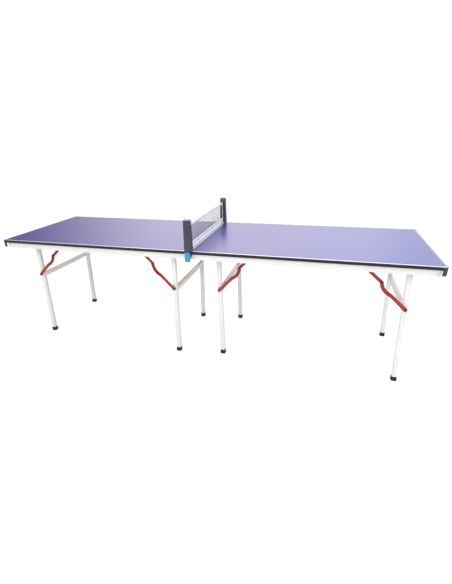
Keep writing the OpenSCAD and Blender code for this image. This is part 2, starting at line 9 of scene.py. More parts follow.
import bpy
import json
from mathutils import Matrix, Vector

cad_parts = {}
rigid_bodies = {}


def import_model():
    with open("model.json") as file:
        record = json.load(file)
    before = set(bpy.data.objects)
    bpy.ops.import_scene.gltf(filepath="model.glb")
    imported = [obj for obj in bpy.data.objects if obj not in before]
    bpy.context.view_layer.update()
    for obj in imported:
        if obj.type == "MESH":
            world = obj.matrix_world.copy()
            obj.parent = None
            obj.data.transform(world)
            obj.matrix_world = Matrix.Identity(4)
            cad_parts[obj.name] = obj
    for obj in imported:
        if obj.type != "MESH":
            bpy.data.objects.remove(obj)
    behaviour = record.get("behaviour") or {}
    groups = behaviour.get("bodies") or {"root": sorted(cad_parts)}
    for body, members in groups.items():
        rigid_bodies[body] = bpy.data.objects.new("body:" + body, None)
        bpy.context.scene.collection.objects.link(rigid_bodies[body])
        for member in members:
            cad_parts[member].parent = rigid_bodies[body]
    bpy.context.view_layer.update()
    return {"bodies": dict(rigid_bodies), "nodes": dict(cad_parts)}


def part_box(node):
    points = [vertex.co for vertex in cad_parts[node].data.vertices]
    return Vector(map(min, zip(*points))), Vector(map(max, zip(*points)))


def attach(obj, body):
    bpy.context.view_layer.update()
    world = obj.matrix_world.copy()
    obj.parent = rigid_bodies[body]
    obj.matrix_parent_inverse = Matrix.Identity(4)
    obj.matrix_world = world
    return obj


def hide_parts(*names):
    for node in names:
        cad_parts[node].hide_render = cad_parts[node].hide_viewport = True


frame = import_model()

import json
import math
import bmesh
import bpy
from mathutils import Matrix, Vector

parts, bodies = frame["nodes"], frame["bodies"]

# %% [markdown]
# ## Sizes taken from the parts
# A new piece has to land exactly on an old one, so its place is read from the loaded parts' boxes
# and not typed in. The few sizes that a box can't tell, such as the thickness of a sheet, are the
# ones that the parts were made with.

# %% Read the sizes
under_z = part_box("right_top_board")[0].z
half_length, half_width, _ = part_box("right_edge_band")[1]
rail_x, rail_y, rail_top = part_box("right_end_rail")[1]
rail_sheet, bracket_sheet = 0.002, 0.0025
tube, tube_corner = 0.025, 0.003
SIDES, FRAMES = ("left", "right"), ("outer", "inner")
print("half length", round(half_length, 4), "half width", round(half_width, 4))

# %% [markdown]
# ## Where each leg stands
# A leg frame folds about a bolt near the top of its legs. All its small pieces are simplest to
# model once, around an upright leg whose bolt is the origin, and then to carry to each real leg
# with one matrix. The near and far legs, and the outer and inner frames, are mirror images, so the
# matrix may mirror too.

# %% Matrix of one leg
TILT = {"outer": math.radians(3), "inner": math.radians(-1.2)}  # how far each frame leans


def leg_place(side, kind, s):
    """Carries an upright leg to its place. It has +x to the half's middle and +y outward."""
    low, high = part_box(f"{side}_{kind}_legs")
    out = 1 if side == "right" else -1
    hinge_x = low.x + tube / 2 if out > 0 else high.x - tube / 2
    hinge_y = high.y - tube / 2 if s > 0 else low.y + tube / 2
    inward = -out if kind == "outer" else out
    return (
        Matrix.Translation((hinge_x, hinge_y, high.z - tube / 2))
        @ Matrix.Diagonal((inward, s, 1, 1))
        @ Matrix.Rotation(TILT[kind], 4, "Y")
    )


LEGS = {
    (side, kind, s): leg_place(side, kind, s) for side in SIDES for kind in FRAMES for s in (-1, 1)
}
hinge_z = LEGS["right", "inner", 1].translation.z
for key, place in LEGS.items():
    print(*key, [round(v, 4) for v in place.translation])

# %% [markdown]
# ## Camera
# A wide lens stands in front of the net and to the right, a little above head height of a child,
# and looks down at the table. The numbers are the place, the turn and the focal length of that
# view. The tiny shift centres the lens, because the view's middle isn't exactly the lens's.

# %% Set the camera
def new_object(name, data):
    """Puts a lens, a mesh or a lamp in the scene as an object."""
    made = bpy.data.objects.new(name, data)
    bpy.context.collection.objects.link(made)
    return made


lens = bpy.data.cameras.new("view")
lens.lens, lens.sensor_width = 21.525, 36
lens.shift_x, lens.shift_y = 0.01051, 0.01847
lens.clip_start, lens.clip_end = 0.05, 60
camera = new_object("view", lens)
camera.matrix_world = (
    Matrix.Translation((0.6626, -2.0232, 1.2421))
    @ Matrix.Rotation(math.radians(16.576), 4, "Z")
    @ Matrix.Rotation(math.radians(64.478), 4, "X")
    @ Matrix.Rotation(math.radians(-1.588), 4, "Z")
)
bpy.context.scene.camera = camera
bpy.context.scene.view_settings.view_transform = "Standard"
print("lens", lens.lens, "mm at", [round(v, 2) for v in camera.location])

# %% [markdown]
# ## Helpers: colours and nodes
# A paint chart gives a colour as three numbers from 0 to 255, in equal steps for the eye. Blender
# mixes light in linear values, so the numbers are bent to those first. A material is a tree of
# nodes, and one helper adds a node and fills or links its sockets by name.

# %% Make colours and nodes
def linear(v):
    """One of a chart's three numbers as linear light, 0 to 1."""
    return ((v / 255 + 0.055) / 1.055) ** 2.4 if v > 10 else v / 3294.6


def paint(r, g, b):
    """A chart's colour in Blender's linear values."""
    return (linear(r), linear(g), linear(b), 1)


def fill(tree, socket, value):
    if isinstance(value, bpy.types.NodeSocket):
        tree.links.new(value, socket)
    else:
        socket.default_value = value


def add(tree, kind, settings=None, **sockets):
    """Adds a node. A socket's name has _ for a space, and it gets a value or a node's output."""
    node = tree.nodes.new("ShaderNode" + kind)
    for name, value in (settings or {}).items():
        setattr(node, name, value)
    for name, value in sockets.items():
        fill(tree, node.inputs[name.replace("_", " ")], value)
    return node


print("a mid blue on the chart is", [round(v, 3) for v in paint(50, 50, 140)])

# %% [markdown]
# ## Helpers: sums, slopes and mixes
# Patterns are made by arithmetic on coordinates and noise. A Math node does one sum, a Map Range
# node turns a value into a slope from one level to another, and a Mix node lays one colour over
# another where a mask says so.

# %% Do sums, slopes and mixes
def sum_of(tree, operation, *values):
    """One step of arithmetic: a Math node with its inputs in order."""
    node = tree.nodes.new("ShaderNodeMath")
    node.operation = operation
    for socket, value in zip(node.inputs, values):
        fill(tree, socket, value)
    return node.outputs[0]


def ramp(tree, value, start, stop, low=0.0, high=1.0, smooth=True):
    """Low below start, high above stop, and a smooth slope between them."""
    node = add(
        tree, "MapRange", {"interpolation_type": "SMOOTHSTEP" if smooth else "LINEAR"},
        Value=value, From_Min=start, From_Max=stop, To_Min=low, To_Max=high,
    )
    return node.outputs["Result"]


def cover(tree, mask, under, over):
    """Colour over where the mask is 1, colour under where it's 0."""
    node = tree.nodes.new("ShaderNodeMix")
    node.data_type = "RGBA"
    fill(tree, node.inputs[0], mask)
    fill(tree, node.inputs[6], under)
    fill(tree, node.inputs[7], over)
    return node.outputs[2]


print("a slope is smooth unless it's told not to be")

# %% [markdown]
# ## Helpers: groups and materials
# An effect that several materials share is a node group, with named inputs and outputs. A material
# starts from the Principled shader, whose plain numbers are set on its own sockets, and from
# Object coordinates, which are metres on the table, so a pattern's size is its real size.

# %% Start groups and materials
def group(name, inputs, outputs):
    """An empty node group. Inputs are (name, default), outputs are (name, kind)."""
    tree = bpy.data.node_groups.new(name, "ShaderNodeTree")
    for label, default in inputs:
        size = 1 if isinstance(default, float) else len(default)
        kind = {1: "Float", 3: "Vector", 4: "Color"}[size]
        socket = tree.interface.new_socket(label, in_out="INPUT", socket_type="NodeSocket" + kind)
        socket.default_value = default
    for label, kind in outputs:
        tree.interface.new_socket(label, in_out="OUTPUT", socket_type="NodeSocket" + kind)
    return tree, tree.nodes.new("NodeGroupInput").outputs, tree.nodes.new("NodeGroupOutput").inputs


def use(tree, made, **sockets):
    """Places a node group in a material and fills its inputs."""
    node = tree.nodes.new("ShaderNodeGroup")
    node.node_tree = made
    for name, value in sockets.items():
        fill(tree, node.inputs[name.replace("_", " ")], value)
    return node.outputs


def material(name, **constants):
    """A new material: its tree, its Principled shader and the Object coordinates."""
    made = bpy.data.materials.new(name)
    made.use_nodes = True
    tree = made.node_tree
    shader = tree.nodes["Principled BSDF"]
    for socket, value in constants.items():
        shader.inputs[socket.replace("_", " ")].default_value = value
    return made, tree, shader.inputs, add(tree, "TexCoord").outputs["Object"]


def emboss(tree, shader, height, strength, depth, normal=None):
    """Raises the surface by a pattern, over an edge's rounded normal if one is given."""
    bump = add(tree, "Bump", Strength=strength, Distance=depth, Height=height)
    if normal is not None:
        fill(tree, bump.inputs["Normal"], normal)
    fill(tree, shader["Normal"], bump.outputs[0])


print("ready to make groups and materials")

# %% [markdown]
# ## Node group: fine grain
# Powder coat, moulded plastic and lacquer all have a skin with tiny bumps, about a millimetre
# across. Smooth noise gives the rounded hills of sprayed paint, and cells give the pebbles of a
# mould that was etched. One group puts out both, and each material picks what it needs. Size is in
# metres.

# %% Make the grain group
fine_grain, given, out = group(
    "Fine_grain", [("Vector", (0, 0, 0)), ("Size", 0.001)],
    [("Hills", "Float"), ("Pebbles", "Float")],
)
per_metre = sum_of(fine_grain, "DIVIDE", 1.0, given["Size"])
hills = add(
    fine_grain, "TexNoise", Vector=given["Vector"], Scale=per_metre, Detail=2.0, Roughness=0.45
)
cells = add(
    fine_grain, "TexVoronoi", {"feature": "SMOOTH_F1"}, Vector=given["Vector"], Scale=per_metre,
    Smoothness=0.5,
)
fill(fine_grain, out["Hills"], hills.outputs[0])
fill(fine_grain, out["Pebbles"], sum_of(fine_grain, "SUBTRACT", 1.0, cells.outputs["Distance"]))
print(fine_grain.name, "puts out hills and pebbles")

# %% [markdown]
# ## Node group: cloudy tone
# No real surface has one colour all over: paint film is thicker here and thinner there, and hands
# and dust leave it a shade lighter or darker. This group makes any colour a little lighter and
# darker in soft clouds, and puts out the clouds too, so that roughness can follow them.

# %% Make the cloud group
cloudy_tone, given, out = group(
    "Cloudy_tone",
    [("Colour", (0.5, 0.5, 0.5, 1)), ("Vector", (0, 0, 0)), ("Size", 0.1), ("Spread", 0.1)],
    [("Colour", "Color"), ("Clouds", "Float")],
)
clouds = add(
    cloudy_tone, "TexNoise", Vector=given["Vector"],
    Scale=sum_of(cloudy_tone, "DIVIDE", 1.0, given["Size"]), Detail=4.0, Roughness=0.55,
).outputs[0]
swing = sum_of(cloudy_tone, "SUBTRACT", clouds, 0.5)
swing = sum_of(cloudy_tone, "MULTIPLY", swing, given["Spread"])
shade = add(
    cloudy_tone, "HueSaturation", Color=given["Colour"],
    Value=sum_of(cloudy_tone, "MULTIPLY_ADD", swing, 4.0, 1.0),
)
fill(cloudy_tone, out["Colour"], shade.outputs[0])
fill(cloudy_tone, out["Clouds"], clouds)
print(cloudy_tone.name, "lightens and darkens a colour by its spread")

# %% [markdown]
# ## Node group: scuffs
# Things that are carried, folded and stacked get thin rubbed lines. Noise that is squeezed in one
# direction makes streaks, and only its peaks are kept, so the lines are short and few. Two sets
# cross each other, so that no direction looks combed.

# %% Make the scuff group
scuffs, given, out = group(
    "Scuffs", [("Vector", (0, 0, 0)), ("Length", 0.05), ("Amount", 0.3)], [("Mask", "Float")]
)
per_metre = sum_of(scuffs, "DIVIDE", 1.0, given["Length"])
line_sets = []
for turn, squeeze in (((0.3, 0.2, 0.5), (1, 16, 9)), ((-0.4, 0.1, -0.8), (14, 1, 11))):
    turned = add(scuffs, "Mapping", Vector=given["Vector"], Rotation=turn, Scale=squeeze)
    streak = add(
        scuffs, "TexNoise", Vector=turned.outputs[0], Scale=per_metre, Detail=1.0, Distortion=0.3
    )
    edge = sum_of(scuffs, "MULTIPLY_ADD", given["Amount"], -0.14, 0.76)
    line_sets.append(ramp(scuffs, streak.outputs[0], edge, sum_of(scuffs, "ADD", edge, 0.04)))
fill(scuffs, out["Mask"], sum_of(scuffs, "MAXIMUM", *line_sets))
print(scuffs.name, "keeps the peaks of", len(line_sets), "sets of streaks")

# %% [markdown]
# ## Node group: worn edge
# A folded or sawn edge is never perfectly sharp: it catches the light, and paint rubs off it
# first. The Bevel node rounds the shading of an edge without touching the mesh. Where the rounded
# normal differs from the true one there is an edge, and noise breaks that band into patches of
# wear.

# %% Make the edge group
worn_edge, given, out = group(
    "Worn_edge", [("Vector", (0, 0, 0)), ("Radius", 0.001), ("Wear", 0.3)],
    [("Mask", "Float"), ("Normal", "Vector")],
)
rounded = add(worn_edge, "Bevel", {"samples": 6}, Radius=given["Radius"]).outputs[0]
true = add(worn_edge, "NewGeometry").outputs["Normal"]
alike = add(worn_edge, "VectorMath", {"operation": "DOT_PRODUCT"})
fill(worn_edge, alike.inputs[0], rounded)
fill(worn_edge, alike.inputs[1], true)
turned_away = sum_of(worn_edge, "SUBTRACT", 1.0, alike.outputs["Value"])
near_edge = ramp(worn_edge, turned_away, 0.02, 0.16)
patches = add(worn_edge, "TexNoise", Vector=given["Vector"], Scale=55.0, Detail=3.0).outputs[0]
kept = ramp(worn_edge, sum_of(worn_edge, "MULTIPLY_ADD", given["Wear"], 0.5, patches), 0.62, 0.72)
fill(worn_edge, out["Mask"], sum_of(worn_edge, "MULTIPLY", near_edge, kept))
fill(worn_edge, out["Normal"], rounded)
print(worn_edge.name, "rounds and wears edges within its radius")

# %% [markdown]
# ## Blue playing surface
# The boards are fibreboard. The top is sprayed with satin blue table paint. A white line 12 mm
# wide runs along each side and the seam, and a narrow one along the ends, where the black rim of
# the edge lies flush in the top. The underside is left as sealed brown board. All these finishes
# are on one part, so masks from the coordinates choose between them: height tells top from
# underside, and the distance to the nearest edge tells line from field. Absolute values of X and Y
# fold the table onto one quarter, so one sum serves all the edges.

# %% Make the playing surface
LINE, RIM, END_TRIM = 0.0121, 0.0037, 0.0063
blue_board, tree, shader, place = material("blue_playing_surface", IOR=1.5)
axis = add(tree, "SeparateXYZ", Vector=place).outputs
to_side = sum_of(tree, "SUBTRACT", half_width, sum_of(tree, "ABSOLUTE", axis["Y"]))
from_seam = sum_of(tree, "ABSOLUTE", axis["X"])
to_end = sum_of(tree, "SUBTRACT", half_length, from_seam)
narrow_end = sum_of(tree, "ADD", to_end, END_TRIM)
to_edge = sum_of(tree, "MINIMUM", to_side, sum_of(tree, "MINIMUM", narrow_end, from_seam))
wobble = add(tree, "TexNoise", Vector=place, Scale=400.0).outputs[0]
hand_masked = sum_of(tree, "MULTIPLY_ADD", wobble, 0.0006, to_edge)
line = ramp(tree, hand_masked, LINE, LINE + 0.0005, 1.0, 0.0)
field = use(tree, cloudy_tone, Colour=paint(51, 50, 129), Vector=place, Size=0.35, Spread=0.10)
lined = cover(tree, line, field["Colour"], paint(226, 227, 232))
rim = ramp(tree, to_end, RIM, RIM + 0.0003, 1.0, 0.0)
painted = cover(tree, rim, lined, paint(30, 28, 34))
drawn_out = add(tree, "Mapping", Vector=place, Scale=(1.0, 2.2, 1.0)).outputs[0]
fibre = add(tree, "TexNoise", Vector=drawn_out, Scale=900.0, Detail=6.0, Roughness=0.7)
fibre_mask = ramp(tree, fibre.outputs[0], 0.3, 0.7)
board_brown = cover(tree, fibre_mask, paint(122, 96, 68), paint(176, 150, 116))
is_under = ramp(tree, axis["Z"], under_z + 0.0004, under_z + 0.0008, 1.0, 0.0)
fill(tree, shader["Base Color"], cover(tree, is_under, painted, board_brown))
grain = use(tree, fine_grain, Vector=place, Size=0.0011)
satin = sum_of(tree, "MULTIPLY_ADD", field["Clouds"], 0.06, 0.264)
fill(tree, shader["Roughness"], sum_of(tree, "MULTIPLY_ADD", is_under, 0.5, satin))
emboss(tree, shader, grain["Hills"], 0.10, 0.0002)
print(blue_board.name, "with a white line and a brown underside")

# %% [markdown]
# ## White powder coat
# The rails, brackets and legs are steel with a baked white powder coat. The powder melts into a
# glossy film with shallow hills like orange peel. It chips at edges and corners, where a grey
# steel shows, and it yellows and dulls a little in clouds.

# %% Make the powder coat
white_steel, tree, shader, place = material("white_powder_coat", IOR=1.5)
edge = use(tree, worn_edge, Vector=place, Radius=0.0009, Wear=0.12)
coat = use(tree, cloudy_tone, Colour=paint(238, 238, 236), Vector=place, Size=0.16, Spread=0.035)
mark = use(tree, scuffs, Vector=place, Length=0.03, Amount=0.35)["Mask"]
marked = cover(tree, sum_of(tree, "MULTIPLY", mark, 0.35), coat["Colour"], paint(176, 174, 170))
fill(tree, shader["Base Color"], cover(tree, edge["Mask"], marked, paint(150, 150, 152)))
fill(tree, shader["Metallic"], sum_of(tree, "MULTIPLY", edge["Mask"], 0.8))
gloss = sum_of(tree, "MULTIPLY_ADD", coat["Clouds"], 0.12, 0.255)
fill(tree, shader["Roughness"], sum_of(tree, "MULTIPLY_ADD", mark, 0.2, gloss))
peel = use(tree, fine_grain, Vector=place, Size=0.0016)["Hills"]
emboss(tree, shader, peel, 0.25, 0.00025, edge["Normal"])
print(white_steel.name, "with orange peel, clouds and chipped edges")

# %% [markdown]
# ## Red paint on the stays
# The folding stays are flat steel bars in glossy red. Where the rivets slide and the bars pass
# each other the paint rubs thin, so this coat has more wear than the white one and a darker red
# under it.

# %% Make the red paint
red_steel, tree, shader, place = material("red_gloss_paint", IOR=1.5)
edge = use(tree, worn_edge, Vector=place, Radius=0.0008, Wear=0.3)
coat = use(tree, cloudy_tone, Colour=paint(168, 32, 37), Vector=place, Size=0.05, Spread=0.10)
mark = use(tree, scuffs, Vector=place, Length=0.02, Amount=0.7)["Mask"]
marked = cover(tree, sum_of(tree, "MULTIPLY", mark, 0.6), coat["Colour"], paint(108, 22, 26))
fill(tree, shader["Base Color"], cover(tree, edge["Mask"], marked, paint(120, 116, 114)))
fill(tree, shader["Metallic"], sum_of(tree, "MULTIPLY", edge["Mask"], 0.9))
fill(tree, shader["Roughness"], sum_of(tree, "MULTIPLY_ADD", mark, 0.25, 0.285))
peel = use(tree, fine_grain, Vector=place, Size=0.0014)["Hills"]
emboss(tree, shader, peel, 0.2, 0.0002, edge["Normal"])
print(red_steel.name, "with rubbed marks")

# %% [markdown]
# ## Moulded plastics and rubber
# The edge band, the corner guards, the net posts, the clips and the rubber feet are all moulded,
# so one recipe makes them: a colour with clouds, pebbles from the mould, edges that are a shade
# lighter where they are handled, and light scuffs. Only the numbers differ, so a function holds
# the recipe. The clip's outer plate is turquoise, and its cheeks behind the plate are painted
# navy: painted shade, for the clip's sides that lie in shadow. The distance from the table's
# middle line tells them apart.

# %% Make the moulded materials
def moulded(
    name, colour, rough, grain_size, grain_depth, edge_colour, spread=0.08, ior=1.5, behind=None
):
    """Behind, if given, is a distance from the middle line and two darker colours, painted shade,
    used inside it.
    """
    made, tree, shader, place = material(name, IOR=ior)
    if behind:
        out = sum_of(tree, "ABSOLUTE", add(tree, "SeparateXYZ", Vector=place).outputs["Y"])
        # inside that distance both colours are swapped for navy ones, a painted shade
        is_front = ramp(tree, out, behind[0], behind[0] + 0.0003)
        colour = cover(tree, is_front, behind[1], colour)
        edge_colour = cover(tree, is_front, behind[2], edge_colour)
    edge = use(tree, worn_edge, Vector=place, Radius=0.0012, Wear=0.25)
    base = use(tree, cloudy_tone, Colour=colour, Vector=place, Size=0.06, Spread=spread)
    mark = use(tree, scuffs, Vector=place, Length=0.025, Amount=0.5)["Mask"]
    scuffed = sum_of(tree, "MULTIPLY", mark, 0.25)
    handled = sum_of(tree, "MAXIMUM", scuffed, sum_of(tree, "MULTIPLY", edge["Mask"], 0.6))
    fill(tree, shader["Base Color"], cover(tree, handled, base["Colour"], edge_colour))
    dull = sum_of(tree, "MULTIPLY_ADD", base["Clouds"], 0.16, rough - 0.08)
    fill(tree, shader["Roughness"], sum_of(tree, "MULTIPLY_ADD", mark, 0.12, dull))
    pebbles = use(tree, fine_grain, Vector=place, Size=grain_size)["Pebbles"]
    emboss(tree, shader, pebbles, grain_depth, 0.0003, edge["Normal"])
    return made


plate_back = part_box("clip_lever_far")[1].y - 0.0051
edge_band = moulded(
    "black_edge_band", paint(26, 24, 30), 0.40, 0.0012, 0.12, paint(66, 64, 70), ior=1.38
)
black_plastic = moulded(
    "black_guard_plastic", paint(44, 41, 44), 0.46, 0.0011, 0.35, paint(92, 90, 92)
)
post_plastic = moulded(
    "slate_post_plastic", paint(50, 54, 65), 0.22, 0.0009, 0.10, paint(106, 112, 126)
)
clip_plastic = moulded(
    "turquoise_clip_plastic", paint(18, 150, 190), 0.22, 0.0009, 0.08, paint(96, 196, 220),
    # the cheeks get navy as painted shade, for the clip's sides that lie in shadow
    behind=(plate_back, paint(28, 42, 84), paint(70, 92, 140)),
)
black_rubber = moulded(
    "black_foot_rubber", paint(25, 24, 26), 0.68, 0.0016, 0.4, paint(66, 64, 63),
    spread=0.14, ior=1.4,
)
print("five moulded materials")

# %% [markdown]
# ## Bare and blackened steel
# The bolts and the net's rods are zinc plated, which is a grey metal with a faint crystal pattern
# and fine drawn lines. The rivets are blackened, so they are dark with lighter rims where they
# rub.

# %% Make the steels
def plated(name, colour, rough, rim, tint):
    """Rim is the colour of rubbed edges, tint the colour of the darker clouds."""
    made, tree, shader, place = material(name, Metallic=1.0)
    edge = use(tree, worn_edge, Vector=place, Radius=0.0006, Wear=0.45)
    base = use(tree, cloudy_tone, Colour=colour, Vector=place, Size=0.012, Spread=0.12)
    stained = cover(tree, ramp(tree, base["Clouds"], 0.5, 0.75), base["Colour"], tint)
    fill(tree, shader["Base Color"], cover(tree, edge["Mask"], stained, rim))
    mark = use(tree, scuffs, Vector=place, Length=0.008, Amount=0.8)["Mask"]
    dull = sum_of(tree, "MULTIPLY_ADD", base["Clouds"], 0.3, rough - 0.12)
    fill(tree, shader["Roughness"], sum_of(tree, "MULTIPLY_ADD", mark, 0.15, dull))
    crystals = use(tree, fine_grain, Vector=place, Size=0.0007)["Pebbles"]
    emboss(tree, shader, crystals, 0.12, 0.0001, edge["Normal"])
    return made


zinc = plated(
    "zinc_plated_steel", paint(196, 198, 200), 0.34, paint(226, 226, 226), paint(186, 184, 170)
)
blackened = plated(
    "blackened_steel", paint(70, 68, 68), 0.42, paint(150, 148, 146), paint(60, 52, 46)
)
print("two steels")

# %% [markdown]
# ## Node group: thread weave
# The tapes are plain woven: each thread goes over one neighbour and under the next. Two sine waves
# multiplied give that chequer of small pillows. The pattern is laid on the surface's own UV map,
# in thread counts, so that it follows the tape round its fold.

# %% Make the weave group
THREAD_OUT = [("Height", "Float"), ("Gap", "Float")]
weave, given, out = group("Thread_weave", [("Vector", (0, 0, 0))], THREAD_OUT)
axis = add(weave, "SeparateXYZ", Vector=given["Vector"]).outputs
over = [sum_of(weave, "SINE", sum_of(weave, "MULTIPLY", axis[k], math.pi)) for k in "XY"]
pillow = sum_of(weave, "ABSOLUTE", sum_of(weave, "MULTIPLY", *over))
fill(weave, out["Height"], sum_of(weave, "POWER", pillow, 0.5))
fill(weave, out["Gap"], ramp(weave, pillow, 0.02, 0.25, 1.0, 0.0))
print(weave.name, "is one thread over, one under")

# %% [markdown]
# ## Node group: twisted thread
# Twine, cord and sewing thread are plies twisted round each other, so slanted ridges cross them.
# Bands that run at a slant to X, Y and Z alike cross every thread at a slant, whichever way it
# lies. The group has the same outputs as the weave, so one cloth recipe can use either.

# %% Make the twist group
PLIES = 480.0
twist, given, out = group("Twisted_thread", [("Vector", (0, 0, 0))], THREAD_OUT)
plies = add(
    twist, "TexWave", {"wave_type": "BANDS", "bands_direction": "DIAGONAL"},
    Vector=given["Vector"], Scale=PLIES, Distortion=0.4, Detail=1.0,
).outputs["Fac"]
fill(twist, out["Height"], sum_of(twist, "POWER", plies, 0.5))
fill(twist, out["Gap"], ramp(twist, plies, 0.02, 0.25, 1.0, 0.0))
print(twist.name, "has a ply every", round(200 * math.pi / PLIES, 1), "mm")

# %% [markdown]
# ## Cloth of the net, its tapes and its cord
# The strands are dark twisted nylon, the tapes are bleached polyester and the cord is white and
# twisted. Cloth scatters light at its rim, so each has a sheen, set on the shader itself. The
# woven tapes have a UV map that counts threads, and the twisted ones use their place on the table.

# %% Make the cloths
def cloth(name, colour, shadow, rough, pattern):
    """Shadow is the colour between the threads, pattern the weave or the twist."""
    made, tree, shader, place = material(name, Sheen_Weight=0.25, Sheen_Roughness=0.4, IOR=1.45)
    laid = place if pattern is twist else add(tree, "UVMap", {"uv_map": "threads"}).outputs[0]
    woven = use(tree, pattern, Vector=laid)
    base = use(tree, cloudy_tone, Colour=colour, Vector=place, Size=0.03, Spread=0.05)
    gaps = sum_of(tree, "MULTIPLY", woven["Gap"], 0.6)
    fill(tree, shader["Base Color"], cover(tree, gaps, base["Colour"], shadow))
    fill(tree, shader["Roughness"], sum_of(tree, "MULTIPLY_ADD", woven["Gap"], 0.1, rough))
    emboss(tree, shader, woven["Height"], 0.5, 0.0002)
    return made


net_twine = cloth("dark_net_twine", paint(48, 50, 52), paint(20, 20, 22), 0.7, twist)
tape_cloth = cloth("white_woven_tape", paint(247, 247, 245), paint(222, 222, 220), 0.8, weave)
white_cord = cloth("white_twisted_cord", paint(234, 234, 230), paint(168, 168, 164), 0.7, twist)
print("three cloths")

# %% [markdown]
# ## Dress the loaded parts
# Each part's name says what it is made of, so a short table of name endings gives every loaded
# part its finish. The part's mesh stays as it is: only the material in its slot changes.

# %% Give the parts their materials
FINISH = {
    white_steel: "side_rail_near side_rail_far end_rail seam_rail leg_brackets legs crossbar",
    red_steel: "lower_stay_links upper_stay_links",
    blackened: "stay_anchor_rivets stay_rivets slot_rivets",
    zinc: "hinge_bolts seam_pins clip_pins clip_springs net_side_rods",
    blue_board: "top_board", edge_band: "edge_band", black_plastic: "corner_guards",
    post_plastic: "net_post_near net_post_far", clip_plastic: "clip_lever_near clip_lever_far",
    black_rubber: "foot_caps", net_twine: "net_mesh", tape_cloth: "net_tapes",
    white_cord: "net_cord",
}
for name, part in parts.items():
    finish = next(made for made, ends in FINISH.items() if name.endswith(tuple(ends.split())))
    for held in part.material_slots:
        held.material = finish
print("dressed", len(parts), "parts in", len(FINISH), "materials")

# %% [markdown]
# ## Helpers: copy and finish a piece
# Every new piece ends the same way: its bmesh becomes a mesh at the origin, gets its material, is
# shaded smooth except at sharp corners, and is told which body it rides on. A small shape that is
# used many times is drawn once and copied to a list of places, where a mirroring place turns the
# faces inside out, so those copies are flipped back.

# %% Copy and finish pieces
def only(kind, geometry):
    """The vertices, edges or faces among what an operator gives back."""
    return [g for g in geometry if isinstance(g, kind)]


def as_mesh(shape, name="drawn"):
    """Turns a bmesh into a mesh and clears the bmesh away."""
    mesh = bpy.data.meshes.new(name)
    shape.to_mesh(mesh)
    shape.free()
    return mesh


def copies(drawn, places):
    """One bmesh with a copy of a drawn mesh at each place."""
    joined = bmesh.new()
    for place in places:
        before = len(joined.verts), len(joined.faces)
        joined.from_mesh(drawn)
        joined.verts.ensure_lookup_table()
        joined.faces.ensure_lookup_table()
        bmesh.ops.transform(joined, matrix=place, verts=joined.verts[before[0]:])
        if place.determinant() < 0:
            bmesh.ops.reverse_faces(joined, faces=joined.faces[before[1]:])
    return joined


def piece(name, shape, finish, body, sharp=40):
    """Makes the bmesh an object that rides on a body."""
    mesh = as_mesh(shape, name)
    mesh.polygons.foreach_set("use_smooth", [True] * len(mesh.polygons))
    mesh.set_sharp_from_angle(angle=math.radians(sharp))
    mesh.materials.append(finish)
    made = new_object(name, mesh)
    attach(made, body)
    return made


print("ready to copy and finish pieces")

# %% [markdown]
# ## Helpers: loops of edges
# The feet and the weld beads both start from a rounded square, which is the tube's own section: a
# square whose corners are beveled, without its face. A closed loop of edges can be extruded, and
# the new loop scaled and moved, which draws a wall ring by ring.

# %% Draw and grow loops
def next_loop(shape, edges, scale=1.0, move=(0, 0, 0)):
    """Extrudes a closed edge loop once, then scales the new loop in X and Y and moves it."""
    grown = bmesh.ops.extrude_edge_only(shape, edges=edges)["geom"]
    verts = only(bmesh.types.BMVert, grown)
    bmesh.ops.scale(shape, vec=(scale, scale, 1), verts=verts)
    bmesh.ops.translate(shape, vec=move, verts=verts)
    return only(bmesh.types.BMEdge, grown)


def rounded_square(shape, half, corner, segments, cuts=0):
    """The edge loop of a square with round corners in the plane z = 0."""
    bmesh.ops.create_grid(shape, x_segments=1, y_segments=1, size=half)
    bmesh.ops.bevel(
        shape, geom=shape.verts[:], offset=corner, segments=segments, profile=0.5,
        affect="VERTICES", material=-1,
    )
    bmesh.ops.delete(shape, geom=shape.faces[:], context="FACES_ONLY")
    if cuts:
        long = [e for e in shape.edges if e.calc_length() > half]
        bmesh.ops.subdivide_edges(shape, edges=long, cuts=cuts)
    return shape.edges[:]


print("loops can be drawn and grown")

# %% [markdown]
# ## Rubber feet
# Each leg ends in a moulded rubber cap: a thick square cup with two grooves that let it grip the
# tube, a softened rim and a sole cut level with the floor. It grows from a rounded square outline
# that is extruded and scaled again and again, as a stack of rings. The splayed legs tilt the cap,
# so it is made a little too long and a cut at floor height levels it.

# %% Make a foot
CAP_FROM, CAP_CORNER, SOLE_EDGE = -0.004, 0.006, 0.0012
FOOT_RINGS = (  # distance up the leg from the floor, half width
    (0.0000, 0.0150), (0.0082, 0.0150), (0.0089, 0.0143), (0.0110, 0.0143), (0.0117, 0.0150),
    (0.0144, 0.0150), (0.0151, 0.0143), (0.0172, 0.0143), (0.0179, 0.0149), (0.0244, 0.0147),
    (0.0256, 0.0142), (0.0260, 0.0134), (0.0260, 0.01245), (0.0180, 0.01245),
)


